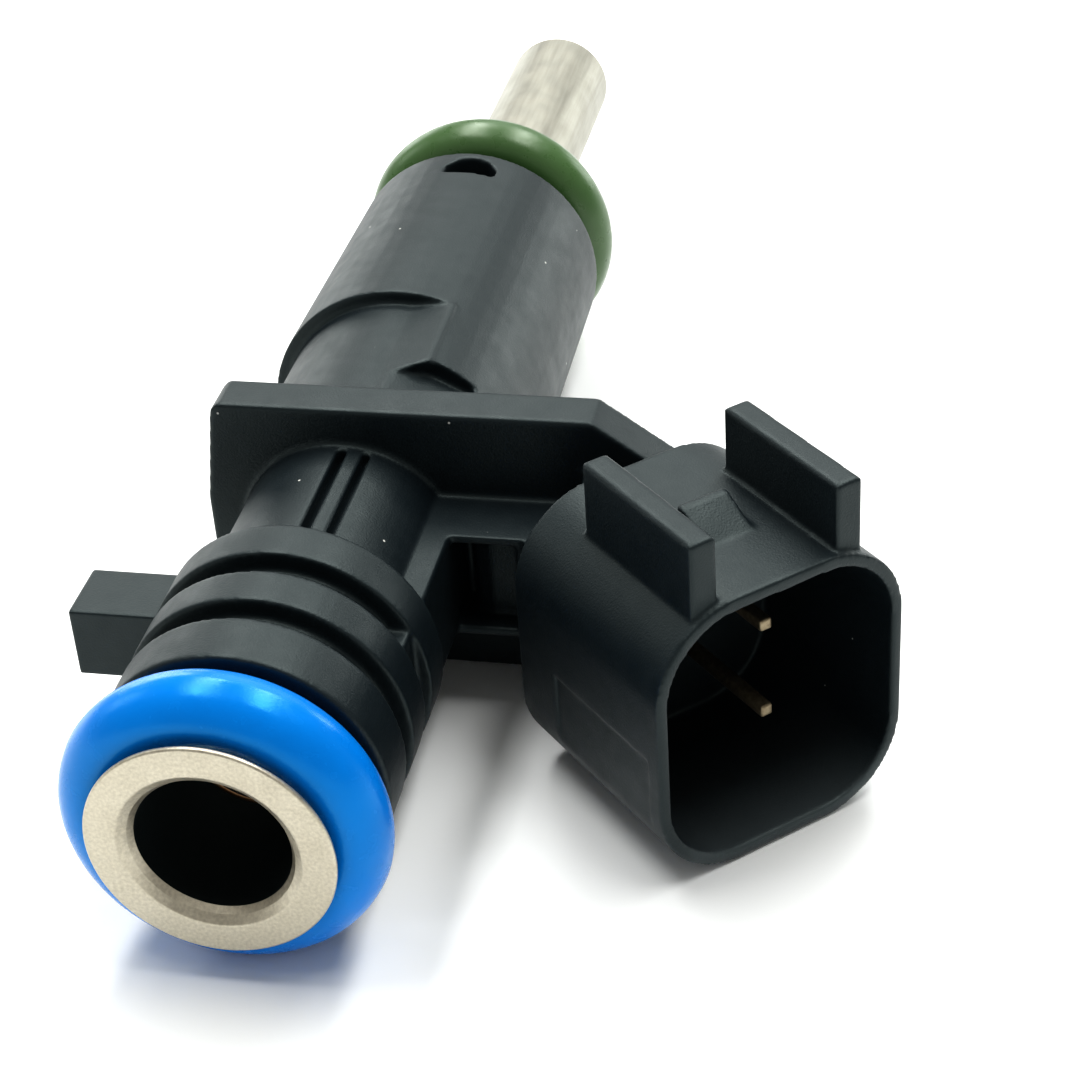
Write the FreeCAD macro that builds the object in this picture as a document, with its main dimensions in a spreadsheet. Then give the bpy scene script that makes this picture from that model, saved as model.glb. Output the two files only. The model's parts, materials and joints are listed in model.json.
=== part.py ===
import FreeCAD, Part
import math
import os

import Sketcher

Vector = FreeCAD.Vector
Rotation = FreeCAD.Rotation
Placement = FreeCAD.Placement

# A port fuel injector with an extended tip, lying on its side.
# Frame: origin at the centre of the inlet face, +Y along the injector to the tip,
# +X to the side that carries the electrical connector, +Z up.  Millimetres.

doc = FreeCAD.newDocument("fuel_injector")
sheet = doc.addObject("Spreadsheet::Sheet", "sheet")

DIMENSIONS = {
    # inlet tube and filter
    "flange_radius": 5.6,
    "flange_thick": 0.3,
    "mouth_radius": 4.2,
    "mouth_depth": 0.75,
    "tube_radius": 3.93,
    "tube_bore": 3.5,
    "core_bore": 3.4,
    "bore_step": 7.1,
    "tube_end": 24.0,
    "filter_front": 7.2,
    "filter_back": 19.5,
    "filter_ring_wall": 0.3,
    "filter_ring_length": 2.4,
    "filter_rib_width": 0.7,
    "filter_cage_radius": 2.9,
    "filter_cap_thick": 0.8,
    "filter_collar_bore": 2.45,
    "filter_mesh_radius": 2.4,
    "filter_mesh_thick": 0.12,
    # seals
    "seal_section": 1.76,
    "upper_seal_centre": 2.5,
    "upper_seal_ring": 5.7,
    "lower_seal_centre": 57.3,
    "lower_seal_ring": 5.72,
    # collar and neck of the moulded body
    "collar_radius": 6.76,
    "collar_front": 4.81,
    "groove_radius": 5.76,
    "groove_one_front": 7.79,
    "groove_one_back": 9.07,
    "groove_two_front": 11.37,
    "groove_two_back": 12.7,
    "collar_back": 15.1,
    "neck_radius": 5.5,
    "slot_depth": 0.9,
    "slot_end_gap": 0.35,
    "slot_one_left": -0.05,
    "slot_one_right": 0.42,
    "slot_two_left": 1.2,
    "slot_two_right": 1.56,
    "cut_height": 3.0,
    # plate
    "plate_front": 23.96,
    "plate_back": 26.45,
    "plate_top": 7.44,
    "plate_bottom": 7.3,
    "plate_left": 7.27,
    "plate_left_top": 6.55,
    "plate_chamfer": 0.4,
    "plate_fold": 12.45,
    "plate_right": 16.2,
    "plate_right_top": 4.78,
    # lower body
    "body_back": 53.5,
    "body_root_radius": 7.55,
    "body_rim_radius": 7.25,
    "relief_back": 36.1,
    "relief_radius": 6.7,
    "relief_edge": 3.12,
    "relief_edge_level": 6.93,
    "relief_meet": 2.4,
    "relief_meet_level": 6.25,
    "notch_lean": 27.0,
    "notch_floor": 6.6,
    "notch_half": 2.35,
    "notch_length": 3.9,
    "notch_bend": 0.1,
    "notch_slope": 1.5,
    "window_floor": 5.9,
    "window_centre": 0.5,
    "window_half": 1.5,
    "window_front": 51.0,
    "window_back": 52.8,
    "window_side": 0.7,
    "window_haunch": 0.8,
    "window_crown": 0.15,
    # rib, ledge and tab
    "rib_half": 2.88,
    "rib_side": 6.0,
    "ledge_front": 20.5,
    "ledge_right": 9.6,
    "web_embed": 0.6,
    "web_near": -4.4,
    "web_far": 5.2,
    "web_shoulder": 17.4,
    "recess_right": 9.2,
    "recess_depth": 1.3,
    "recess_deep": 3.0,
    "pillar_flat": 7.6,
    "pillar_turn": 6.85,
    "pillar_turn_depth": 1.65,
    "pillar_side": 6.5,
    "pillar_side_depth": 2.3,
    "recess_lip": 0.45,
    "arm_left": 12.0,
    "arm_near": -3.6,
    "arm_far": 5.4,
    "tab_left": 11.1,
    "tab_front": 13.8,
    "tab_back": 17.4,
    "tab_half": 1.85,
    # connector
    "socket_angle": 46.93,
    "socket_x": 12.0,
    "socket_y": 24.28,
    "shroud_back": 4.2,
    "shroud_front": 16.0,
    "shroud_wide": 6.7,
    "shroud_high": 7.28,
    "shroud_drop": 0.14,
    "shroud_corner": 4.4,
    "socket_wide": 6.12,
    "socket_high": 6.62,
    "socket_corner": 3.85,
    "socket_floor": 6.2,
    "rail_back": 7.24,
    "rail_front": 15.62,
    "rail_top": 10.57,
    "rail_root": 1.2,
    "rail_inner": 3.18,
    "rail_outer": 4.53,
    "latch_half": 1.3,
    "latch_back": 9.8,
    "latch_front": 12.2,
    "latch_top": 8.39,
    "latch_root": 0.4,
    "latch_crest": 0.4,
    # terminals
    "pin_size": 0.64,
    "pin_tip": 13.8,
    "pin_root": 1.0,
    "pin_side": 0.7,
    "pin_raise": 0.7,
    "pin_half_pitch": 2.42,
    "lead_level": 25.2,
    "lead_side": 4.45,
    # valve group
    "sleeve_radius": 3.97,
    "sleeve_wall": 0.5,
    "sleeve_shoulder": 60.4,
    "tip_start": 61.2,
    "tip_end": 80.2,
    "tip_radius": 3.25,
    "tip_lip": 0.55,
    "tip_bevel": 0.3,
    "pole_front": 21.0,
    "pole_back": 38.0,
    "pole_bore": 2.2,
    "adjuster_front": 23.0,
    "adjuster_back": 29.0,
    "adjuster_bore": 1.4,
    "spring_radius": 1.7,
    "spring_wire": 0.25,
    "spring_turns": 8.5,
    "lift_gap": 0.1,
    "armature_back": 46.1,
    "armature_clearance": 0.04,
    "needle_front": 39.6,
    "needle_back": 75.0,
    "needle_radius": 1.6,
    "needle_bore": 1.05,
    "needle_hole_radius": 0.5,
    "needle_hole_inset": 3.5,
    "ball_radius": 1.75,
    "ball_guide_gap": 0.02,
    "seat_gap": 0.012,
    "guide_front": 75.8,
    "guide_hole_radius": 0.32,
    "seat_front": 77.0,
    "plate_orifice_front": 79.6,
    "plate_orifice_back": 79.85,
    "outlet_radius": 0.6,
    "spray_hole_radius": 0.125,
    "spray_hole_ring": 0.35,
    # coil group
    "washer_front": 26.95,
    "coil_front": 28.2,
    "coil_back": 43.6,
    "housing_back": 45.0,
    "housing_radius": 6.3,
    "housing_wall": 0.42,
    "bobbin_bore": 3.99,
    "bobbin_hub": 4.5,
    "bobbin_flange": 0.9,
    "winding_radius": 5.55,
    "washer_notch_gap": 0.05,
    "washer_notch_height": 8.0,
    # rings at the lower seal
    "support_radius": 5.7,
    "support_back": 55.5,
    "retainer_front": 59.1,
    "retainer_radius": 5.2,
}


class Size:
    """A number together with the sheet formula that gives it."""

    def __init__(self, value, formula):
        self.value = value
        self.formula = formula

    def __add__(self, other):
        other = as_size(other)
        return Size(self.value + other.value, f"({self.formula} + {other.formula})")

    def __sub__(self, other):
        other = as_size(other)
        return Size(self.value - other.value, f"({self.formula} - {other.formula})")

    def __mul__(self, factor):
        return Size(self.value * factor, f"({self.formula} * {factor})")

    def __neg__(self):
        return Size(-self.value, f"(0 - {self.formula})")


def as_size(number):
    """Plain numbers are allowed wherever a Size is."""
    if isinstance(number, Size):
        return number
    return Size(float(number), f"{number}")


def fill_sheet():
    """Put every driving dimension in the sheet and return them as sizes."""
    sizes = {}
    for row, (alias, number) in enumerate(DIMENSIONS.items(), start=1):
        sheet.set(f"A{row}", alias)
        sheet.set(f"B{row}", str(number))
        sheet.setAlias(f"B{row}", alias)
        sizes[alias] = Size(number, f"sheet.{alias}")
    doc.recompute()
    return sizes


D = fill_sheet()


# ---------------------------------------------------------------- sketch helpers

def origin_plane(body, role):
    """One of a body's own origin planes."""
    for feature in body.Origin.OriginFeatures:
        if feature.Role == role:
            return feature
    raise ValueError(role)


def new_sketch(body, name, role, level=None):
    """An empty sketch on one of the body's origin planes, or raised by level from it."""
    sketch = body.newObject("Sketcher::SketchObject", name)
    sketch.AttachmentSupport = [(origin_plane(body, role), "")]
    sketch.MapMode = "FlatFace"
    if level is not None:
        level = as_size(level)
        sketch.AttachmentOffset = Placement(Vector(0, 0, level.value), Rotation())
        sketch.setExpression("AttachmentOffset.Base.z", level.formula)
    return sketch


def pin_point(sketch, geometry, end, x, y):
    """Hold one end of a sketch line at the place that two sizes give."""
    for kind, size, axis in (("DistanceX", x, -2), ("DistanceY", y, -1)):
        size = as_size(size)
        if size.value == 0.0:
            sketch.addConstraint(Sketcher.Constraint("PointOnObject", geometry, end, axis))
            continue
        constraint = Sketcher.Constraint(kind, -1, 1, geometry, end, size.value)
        index = sketch.addConstraint(constraint)
        sketch.setExpression(f"Constraints[{index}]", size.formula)


def draw_polygon(sketch, points):
    """A closed polygon whose corners are all held by sizes."""
    places = [Vector(as_size(x).value, as_size(y).value, 0) for x, y in points]
    count = len(places)
    first = sketch.GeometryCount
    for i, place in enumerate(places):
        sketch.addGeometry(Part.LineSegment(place, places[(i + 1) % count]), False)
    for i in range(count):
        following = first + (i + 1) % count
        sketch.addConstraint(Sketcher.Constraint("Coincident", first + i, 2, following, 1))
    for i, (x, y) in enumerate(points):
        pin_point(sketch, first + i, 1, x, y)


def draw_rectangle(sketch, left, right, bottom, top):
    """A rectangle between four sizes."""
    draw_polygon(sketch, [(left, bottom), (right, bottom), (right, top), (left, top)])


def draw_circle(sketch, x, y, radius):
    """A circle with its centre and radius held by sizes."""
    x, y, radius = as_size(x), as_size(y), as_size(radius)
    centre = Vector(x.value, y.value, 0)
    index = sketch.addGeometry(Part.Circle(centre, Vector(0, 0, 1), radius.value), False)
    pin_point(sketch, index, 3, x, y)
    constraint = sketch.addConstraint(Sketcher.Constraint("Radius", index, radius.value))
    sketch.setExpression(f"Constraints[{constraint}]", radius.formula)


def draw_rounded_rectangle(sketch, half_wide, half_high, corner):
    """A rectangle about the sketch's origin with four equal rounded corners."""
    wide, high, radius = half_wide.value, half_high.value, corner.value
    line_ends = [
        (Vector(-wide + radius, high, 0), Vector(wide - radius, high, 0)),
        (Vector(wide, high - radius, 0), Vector(wide, -high + radius, 0)),
        (Vector(wide - radius, -high, 0), Vector(-wide + radius, -high, 0)),
        (Vector(-wide, -high + radius, 0), Vector(-wide, high - radius, 0)),
    ]
    centres = [
        (Vector(wide - radius, high - radius, 0), 0.0),
        (Vector(wide - radius, -high + radius, 0), -90.0),
        (Vector(-wide + radius, -high + radius, 0), 180.0),
        (Vector(-wide + radius, high - radius, 0), 90.0),
    ]
    lines = [sketch.addGeometry(Part.LineSegment(*ends), False) for ends in line_ends]
    arcs = []
    for centre, start in centres:
        circle = Part.Circle(centre, Vector(0, 0, 1), radius)
        arc = Part.ArcOfCircle(circle, math.radians(start), math.radians(start + 90.0))
        arcs.append(sketch.addGeometry(arc, False))
    for i in range(4):
        # each arc runs counter-clockwise, so its end meets the line before it
        sketch.addConstraint(Sketcher.Constraint("Tangent", lines[i], 2, arcs[i], 2))
        sketch.addConstraint(Sketcher.Constraint("Tangent", arcs[i], 1, lines[(i + 1) % 4], 1))
    for i in range(1, 4):
        sketch.addConstraint(Sketcher.Constraint("Equal", arcs[0], arcs[i]))
    held = [
        Sketcher.Constraint("Horizontal", lines[0]),
        Sketcher.Constraint("Vertical", lines[1]),
        Sketcher.Constraint("Horizontal", lines[2]),
        Sketcher.Constraint("Vertical", lines[3]),
    ]
    for constraint in held:
        sketch.addConstraint(constraint)
    sizes = [
        (Sketcher.Constraint("Radius", arcs[0], radius), corner),
        (Sketcher.Constraint("DistanceY", -1, 1, lines[0], 1, high), half_high),
        (Sketcher.Constraint("DistanceX", -1, 1, lines[1], 1, wide), half_wide),
        (Sketcher.Constraint("DistanceY", -1, 1, lines[2], 1, -high), -half_high),
        (Sketcher.Constraint("DistanceX", -1, 1, lines[3], 1, -wide), -half_wide),
    ]
    for constraint, size in sizes:
        index = sketch.addConstraint(constraint)
        sketch.setExpression(f"Constraints[{index}]", size.formula)


# --------------------------------------------------------------- feature helpers

def new_body(label):
    body = doc.addObject("PartDesign::Body", label)
    body.Label = label
    return body


def swept_feature(body, kind, sketch, length, both_ways=False, backwards=False):
    """A Pad or Pocket of a sketch, to a length held by a size."""
    length = as_size(length)
    feature = body.newObject(f"PartDesign::{kind}", f"{sketch.Name}_{kind.lower()}")
    feature.Profile = sketch
    feature.Length = length.value
    feature.setExpression("Length", length.formula)
    feature.Midplane = both_ways
    feature.Reversed = backwards
    return feature


def turned_feature(body, kind, sketch):
    """A Revolution or Groove of a sketch, a full turn about the injector's axis."""
    feature = body.newObject(f"PartDesign::{kind}", f"{sketch.Name}_{kind.lower()}")
    feature.Profile = sketch
    feature.ReferenceAxis = (sketch, ["V_Axis"])
    feature.Angle = 360.0
    return feature


def turned_piece(label, profile):
    """A piece turned about the Y axis from (radius, distance from the inlet) points."""
    body = new_body(label)
    sketch = new_sketch(body, f"{label}_profile", "XY_Plane")
    draw_polygon(sketch, profile)
    turned_feature(body, "Revolution", sketch)
    return body


def ring_profile(inner, outer, front, back):
    """The four corners of a plain ring's section."""
    return [(inner, front), (outer, front), (outer, back), (inner, back)]


def torus_piece(label, ring_radius, centre):
    """A seal ring of round section about the Y axis."""
    torus = doc.addObject("Part::Torus", label)
    torus.Label = label
    torus.setExpression("Radius1", ring_radius.formula)
    torus.setExpression("Radius2", D["seal_section"].formula)
    torus.Placement = Placement(Vector(0, centre.value, 0), Rotation(Vector(1, 0, 0), 90))
    torus.setExpression("Placement.Base.y", centre.formula)
    return torus


# ------------------------------------------------------------------ the fuel path

def inlet_tube():
    """Steel fuel tube with its rolled flange and a lead-in at the mouth."""
    return turned_piece("inlet_tube", [
        (D["mouth_radius"], 0),
        (D["flange_radius"], 0),
        (D["flange_radius"], D["flange_thick"]),
        (D["tube_radius"], D["flange_thick"]),
        (D["tube_radius"], D["tube_end"]),
        (D["core_bore"], D["tube_end"]),
        (D["core_bore"], D["bore_step"]),
        (D["tube_bore"], D["bore_step"]),
        (D["tube_bore"], D["mouth_depth"]),
    ])


def inlet_filter_ring():
    """Metal ring that presses the filter into the tube."""
    inner = D["core_bore"] - D["filter_ring_wall"]
    back = D["filter_front"] + D["filter_ring_length"]
    return turned_piece(
        "inlet_filter_ring", ring_profile(inner, D["core_bore"], D["filter_front"], back))


def inlet_filter_cage():
    """Moulded cage: a collar inside the ring, four ribs and an end cap."""
    body = new_body("inlet_filter_cage")
    collar = D["core_bore"] - D["filter_ring_wall"]
    ring_back = D["filter_front"] + D["filter_ring_length"]
    cap_front = D["filter_back"] - D["filter_cap_thick"]
    sketch = new_sketch(body, "cage_collar", "XY_Plane")
    draw_polygon(
        sketch, ring_profile(D["filter_collar_bore"], collar, D["filter_front"], ring_back))
    turned_feature(body, "Revolution", sketch)
    ribs = new_sketch(body, "cage_ribs", "XZ_Plane", level=-ring_back)
    half = D["filter_rib_width"] * 0.5
    inner, outer = D["filter_mesh_radius"], D["filter_cage_radius"]
    for low, high in ((inner, outer), (-outer, -inner)):
        draw_rectangle(ribs, low, high, -half, half)
        draw_rectangle(ribs, -half, half, low, high)
    swept_feature(body, "Pad", ribs, cap_front - ring_back, backwards=True)
    cap = new_sketch(body, "cage_cap", "XZ_Plane", level=-cap_front)
    draw_circle(cap, 0, 0, outer)
    body.Tip = swept_feature(body, "Pad", cap, D["filter_back"] - cap_front, backwards=True)
    return body


def inlet_filter_mesh():
    """Fine woven sleeve held inside the cage's ribs."""
    outer = D["filter_mesh_radius"]
    inner = outer - D["filter_mesh_thick"]
    back = D["filter_back"] - D["filter_cap_thick"]
    return turned_piece("inlet_filter_mesh", ring_profile(inner, outer, D["filter_front"], back))


def valve_sleeve():
    """Drawn steel sleeve from the inlet tube to the rolled-in tip."""
    wall = D["sleeve_wall"]
    lip = D["tip_radius"] - wall - D["tip_lip"]
    bevel = D["tip_bevel"]
    return turned_piece("valve_sleeve", [
        (D["core_bore"], D["tube_end"]),
        (D["sleeve_radius"], D["tube_end"]),
        (D["sleeve_radius"], D["sleeve_shoulder"]),
        (D["tip_radius"], D["tip_start"]),
        (D["tip_radius"], D["tip_end"] - bevel),
        (D["tip_radius"] - bevel, D["tip_end"]),
        (lip, D["tip_end"]),
        (lip, D["plate_orifice_back"]),
        (D["tip_radius"] - wall, D["plate_orifice_back"]),
        (D["tip_radius"] - wall, D["tip_start"]),
        (D["core_bore"], D["sleeve_shoulder"]),
    ])


def pole_piece():
    """Soft iron core that pulls the armature, pressed in both tubes."""
    profile = ring_profile(D["pole_bore"], D["core_bore"], D["pole_front"], D["pole_back"])
    return turned_piece("pole_piece", profile)


def adjusting_sleeve():
    """Pressed sleeve that sets the spring's preload."""
    profile = ring_profile(
        D["adjuster_bore"], D["pole_bore"], D["adjuster_front"], D["adjuster_back"])
    return turned_piece("adjusting_sleeve", profile)


def return_spring():
    """Closing spring between the adjusting sleeve and the needle."""
    body = new_body("return_spring")
    wire = D["spring_wire"]
    start = D["adjuster_back"] + wire
    sketch = new_sketch(body, "spring_wire_section", "XY_Plane")
    draw_circle(sketch, D["spring_radius"], start, wire)
    helix = body.newObject("PartDesign::AdditiveHelix", "spring_helix")
    helix.Profile = sketch
    helix.ReferenceAxis = (sketch, ["V_Axis"])
    helix.Mode = 2
    helix.Turns = D["spring_turns"].value
    helix.setExpression("Turns", D["spring_turns"].formula)
    height = D["needle_front"] - D["adjuster_back"] - wire * 2
    helix.Height = height.value
    helix.setExpression("Height", height.formula)
    return body


def armature():
    """Iron armature, with a counterbore for the spring and a press bore for the needle."""
    outer = D["core_bore"] - D["armature_clearance"]
    front = D["pole_back"] + D["lift_gap"]
    return turned_piece("armature", [
        (D["pole_bore"], front),
        (outer, front),
        (outer, D["armature_back"]),
        (D["needle_radius"], D["armature_back"]),
        (D["needle_radius"], D["needle_front"]),
        (D["pole_bore"], D["needle_front"]),
    ])


def needle_tube():
    """Long hollow needle with cross holes that let the fuel out above the seat."""
    profile = ring_profile(
        D["needle_bore"], D["needle_radius"], D["needle_front"], D["needle_back"])
    body = turned_piece("needle_tube", profile)
    holes = new_sketch(body, "needle_cross_holes", "XY_Plane")
    draw_circle(holes, 0, D["needle_back"] - D["needle_hole_inset"], D["needle_hole_radius"])
    body.Tip = swept_feature(body, "Pocket", holes, D["needle_radius"] * 3, both_ways=True)
    return body


def ball_centre():
    """The ball rests on the inner edge of the needle's open end."""
    radius, bore = D["ball_radius"].value, D["needle_bore"].value
    formula = (f"{D['needle_back'].formula} + sqrt({D['ball_radius'].formula}^2"
               f" - {D['needle_bore'].formula}^2)")
    return Size(D["needle_back"].value + math.sqrt(radius ** 2 - bore ** 2), formula)


def valve_ball():
    """Closing ball welded to the needle."""
    ball = doc.addObject("Part::Sphere", "valve_ball")
    ball.Label = "valve_ball"
    ball.setExpression("Radius", D["ball_radius"].formula)
    ball.setExpression("Placement.Base.y", ball_centre().formula)
    return ball


def guide_disc():
    """Disc that keeps the ball central, with four fuel holes round it."""
    outer = D["tip_radius"] - D["sleeve_wall"]
    inner = D["ball_radius"] + D["ball_guide_gap"]
    body = turned_piece("guide_disc", ring_profile(inner, outer, D["guide_front"], D["seat_front"]))
    holes = new_sketch(body, "guide_fuel_holes", "XZ_Plane", level=-D["guide_front"])
    ring = (inner + outer) * 0.5
    for x, y in ((ring, 0), (0, ring), (-ring, 0), (0, -ring)):
        draw_circle(holes, x, y, D["guide_hole_radius"])
    thick = D["seat_front"] - D["guide_front"]
    body.Tip = swept_feature(body, "Pocket", holes, thick * 2, both_ways=True)
    return body


def valve_seat():
    """Seat with a 90 degree cone that the ball closes."""
    root_two = math.sqrt(2.0)
    cone_sum = ball_centre() + (D["ball_radius"] + D["seat_gap"]) * root_two
    outer = D["tip_radius"] - D["sleeve_wall"]
    return turned_piece("valve_seat", [
        (cone_sum - D["seat_front"], D["seat_front"]),
        (outer, D["seat_front"]),
        (outer, D["plate_orifice_front"]),
        (D["outlet_radius"], D["plate_orifice_front"]),
        (D["outlet_radius"], cone_sum - D["outlet_radius"]),
    ])


def orifice_plate():
    """Thin disc whose four small holes meter and aim the spray."""
    body = new_body("orifice_plate")
    disc = new_sketch(body, "orifice_disc", "XZ_Plane", level=-D["plate_orifice_front"])
    draw_circle(disc, 0, 0, D["tip_radius"] - D["sleeve_wall"])
    ring = D["spray_hole_ring"]
    for x, y in ((ring, 0), (0, ring), (-ring, 0), (0, -ring)):
        draw_circle(disc, x, y, D["spray_hole_radius"])
    thick = D["plate_orifice_back"] - D["plate_orifice_front"]
    swept_feature(body, "Pad", disc, thick, backwards=True)
    return body


# ------------------------------------------------------------------- the solenoid

def coil_bobbin():
    """Moulded spool for the winding."""
    flange = D["housing_radius"] - D["housing_wall"]
    return turned_piece("coil_bobbin", [
        (D["bobbin_bore"], D["coil_front"]),
        (flange, D["coil_front"]),
        (flange, D["coil_front"] + D["bobbin_flange"]),
        (D["bobbin_hub"], D["coil_front"] + D["bobbin_flange"]),
        (D["bobbin_hub"], D["coil_back"] - D["bobbin_flange"]),
        (flange, D["coil_back"] - D["bobbin_flange"]),
        (flange, D["coil_back"]),
        (D["bobbin_bore"], D["coil_back"]),
    ])


def coil_winding():
    """Copper winding, as the solid its turns fill."""
    front = D["coil_front"] + D["bobbin_flange"]
    back = D["coil_back"] - D["bobbin_flange"]
    profile = ring_profile(D["bobbin_hub"], D["winding_radius"], front, back)
    return turned_piece("coil_winding", profile)


def solenoid_housing():
    """Steel cup that carries the flux round the outside of the coil."""
    inner = D["housing_radius"] - D["housing_wall"]
    return turned_piece("solenoid_housing", [
        (inner, D["coil_front"]),
        (D["housing_radius"], D["coil_front"]),
        (D["housing_radius"], D["housing_back"]),
        (D["sleeve_radius"], D["housing_back"]),
        (D["sleeve_radius"], D["coil_back"]),
        (inner, D["coil_back"]),
    ])


def flux_washer():
    """Steel washer that closes the flux path, notched for the two leads."""
    profile = ring_profile(
        D["sleeve_radius"], D["housing_radius"], D["washer_front"], D["coil_front"])
    body = turned_piece("flux_washer", profile)
    notch = new_sketch(body, "washer_notch", "XY_Plane")
    draw_rectangle(
        notch, D["sleeve_radius"] + D["washer_notch_gap"], D["housing_radius"] + 1.0,
        D["washer_front"] - 1.0, D["coil_front"] + 1.0)
    body.Tip = swept_feature(body, "Pocket", notch, D["washer_notch_height"], both_ways=True)
    return body


# ---------------------------------------------------------------- connector frame
# The connector points out of the body at an angle.  "out" is measured along its axis from
# the root, "side" across it, away from the inlet, and Z stays up.

def turned_size(first, second, cosine_first):
    """first * cos(angle) + second * sin(angle), or with sine and cosine exchanged."""
    first, second = as_size(first), as_size(second)
    angle = D["socket_angle"]
    radians = math.radians(angle.value)
    names = ("cos", "sin") if cosine_first else ("sin", "cos")
    factors = (math.cos(radians), math.sin(radians))
    if not cosine_first:
        factors = (factors[1], factors[0])
    formula = (f"({first.formula} * {names[0]}({angle.formula} * 1 deg)"
               f" + {second.formula} * {names[1]}({angle.formula} * 1 deg))")
    return Size(first.value * factors[0] + second.value * factors[1], formula)


def socket_point(out, side):
    """Plan position of a point given along and across the connector."""
    x = D["socket_x"] + turned_size(out, side, True)
    y = D["socket_y"] + turned_size(-as_size(out), side, False)
    return x, y


def turn_sketch(sketch, out, rise, turn):
    """Stand a sketch of the XZ plane out along the connector, raised and turned about Z."""
    x, y = socket_point(out, 0)
    base = Vector(x.value, rise.value, -y.value)
    sketch.AttachmentOffset = Placement(base, Rotation(Vector(0, 1, 0), turn.value))
    sketch.setExpression("AttachmentOffset.Base.x", x.formula)
    sketch.setExpression("AttachmentOffset.Base.y", rise.formula)
    sketch.setExpression("AttachmentOffset.Base.z", (-y).formula)
    sketch.setExpression("AttachmentOffset.Rotation.Angle", turn.formula)


def section_sketch(body, name, out):
    """A sketch across the connector: its x is the side, its y is up, its normal is out.

    Its origin is the middle of the shroud, which sits a little below the injector's axis.
    """
    sketch = new_sketch(body, name, "XZ_Plane")
    turn_sketch(sketch, out, -D["shroud_drop"], -D["socket_angle"] + 90.0)
    return sketch


def profile_sketch(body, name):
    """A sketch along the connector: its x is out, its y is up."""
    sketch = new_sketch(body, name, "XZ_Plane")
    turn_sketch(sketch, 0, -D["shroud_drop"], -D["socket_angle"])
    return sketch


def terminal_outline():
    """Plan corners of one terminal strip, from its tip in the socket to the bobbin."""
    half = D["pin_size"] * 0.5
    near, far = D["pin_side"] - half, D["pin_side"] + half
    level, side = D["lead_level"], D["lead_side"]
    knee_side = D["socket_x"]
    return [
        socket_point(D["pin_tip"], near),
        socket_point(D["pin_root"], near),
        (knee_side, level - half),
        (side - half, level - half),
        (side - half, D["coil_front"]),
        (side + half, D["coil_front"]),
        (side + half, level + half),
        (knee_side, level + half),
        socket_point(D["pin_root"], far),
        socket_point(D["pin_tip"], far),
    ]


def terminal_height(sign):
    """Height of a terminal's middle: sign is +1 for the upper one."""
    return D["pin_raise"] + D["pin_half_pitch"] * sign


def terminal(label, sign):
    """Square terminal pin with its bent lead to the coil."""
    body = new_body(label)
    level = terminal_height(sign) - D["pin_size"] * 0.5
    sketch = new_sketch(body, f"{label}_outline", "XY_Plane", level=level)
    draw_polygon(sketch, terminal_outline())
    swept_feature(body, "Pad", sketch, D["pin_size"])
    return body


# ---------------------------------------------------------------- the moulded body

def add_plate(body):
    """Plate across the neck, with a folded-down corner towards the connector."""
    left, left_top = -D["plate_left"], -D["plate_left_top"]
    top, bottom = D["plate_top"], -D["plate_bottom"]
    chamfer = D["plate_chamfer"]
    fold, right = D["plate_fold"], D["plate_right"]
    right_top = D["plate_right_top"]
    sketch = new_sketch(body, "plate_outline", "XZ_Plane", level=-D["plate_front"])
    draw_polygon(sketch, [
        (left, top * 0.25),
        (left_top, top - chamfer),
        (left_top + chamfer, top),
        (fold, top),
        (right, right_top),
        (right, -right_top),
        (fold, bottom),
        (left_top + chamfer, bottom),
        (left_top, bottom + chamfer),
        (left, bottom * 0.25),
    ])
    thick = D["plate_back"] - D["plate_front"]
    swept_feature(body, "Pad", sketch, thick, backwards=True)


def add_web(body):
    """Low web between the neck, the plate and the connector, with the rib along the collar."""
    side = D["rib_side"]
    joint = D["shroud_back"] + D["web_embed"]
    web = new_sketch(body, "web_outline", "XY_Plane")
    draw_polygon(web, [
        (0, D["groove_two_front"]),
        (side, D["groove_two_front"]),
        (side, D["ledge_front"]),
        (D["ledge_right"], D["ledge_front"]),
        socket_point(joint, D["web_near"]),
        socket_point(joint, D["web_far"]),
        (D["web_shoulder"], D["plate_back"]),
        (0, D["plate_back"]),
    ])
    swept_feature(body, "Pad", web, D["rib_half"] * 2, both_ways=True)


def add_web_recess(body):
    """Hollow under the ledge's front edge, with a rounded pillar as most of its back wall."""
    recess = new_sketch(body, "web_recess", "XY_Plane")
    front, left, right = D["ledge_front"], D["rib_side"], D["recess_right"]
    draw_polygon(recess, [
        (left, front - 1.0),
        (right, front - 1.0),
        (right, front + D["recess_depth"]),
        (D["pillar_flat"], front + D["recess_depth"]),
        (D["pillar_turn"], front + D["pillar_turn_depth"]),
        (D["pillar_side"], front + D["pillar_side_depth"]),
        (D["pillar_side"], front + D["recess_deep"]),
        (left, front + D["recess_deep"]),
    ])
    swept_feature(body, "Pocket", recess, (D["rib_half"] - D["recess_lip"]) * 2, both_ways=True)


def add_arm(body):
    """Taller root of the connector behind the web."""
    joint = D["shroud_back"] + D["web_embed"]
    arm = new_sketch(body, "arm_outline", "XY_Plane")
    draw_polygon(arm, [
        (D["arm_left"], D["plate_front"] - 0.2),
        socket_point(joint, D["arm_near"]),
        socket_point(joint, D["arm_far"]),
        (D["web_shoulder"], D["plate_back"]),
        (D["arm_left"], D["plate_back"]),
    ])
    swept_feature(body, "Pad", arm, D["plate_right_top"] * 2, both_ways=True)


def add_tab(body):
    """Small block on the side away from the connector that keys the injector's angle."""
    tab = new_sketch(body, "tab_outline", "XY_Plane")
    draw_rectangle(tab, -D["tab_left"], 0, D["tab_front"], D["tab_back"])
    swept_feature(body, "Pad", tab, D["tab_half"] * 2, both_ways=True)


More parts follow.
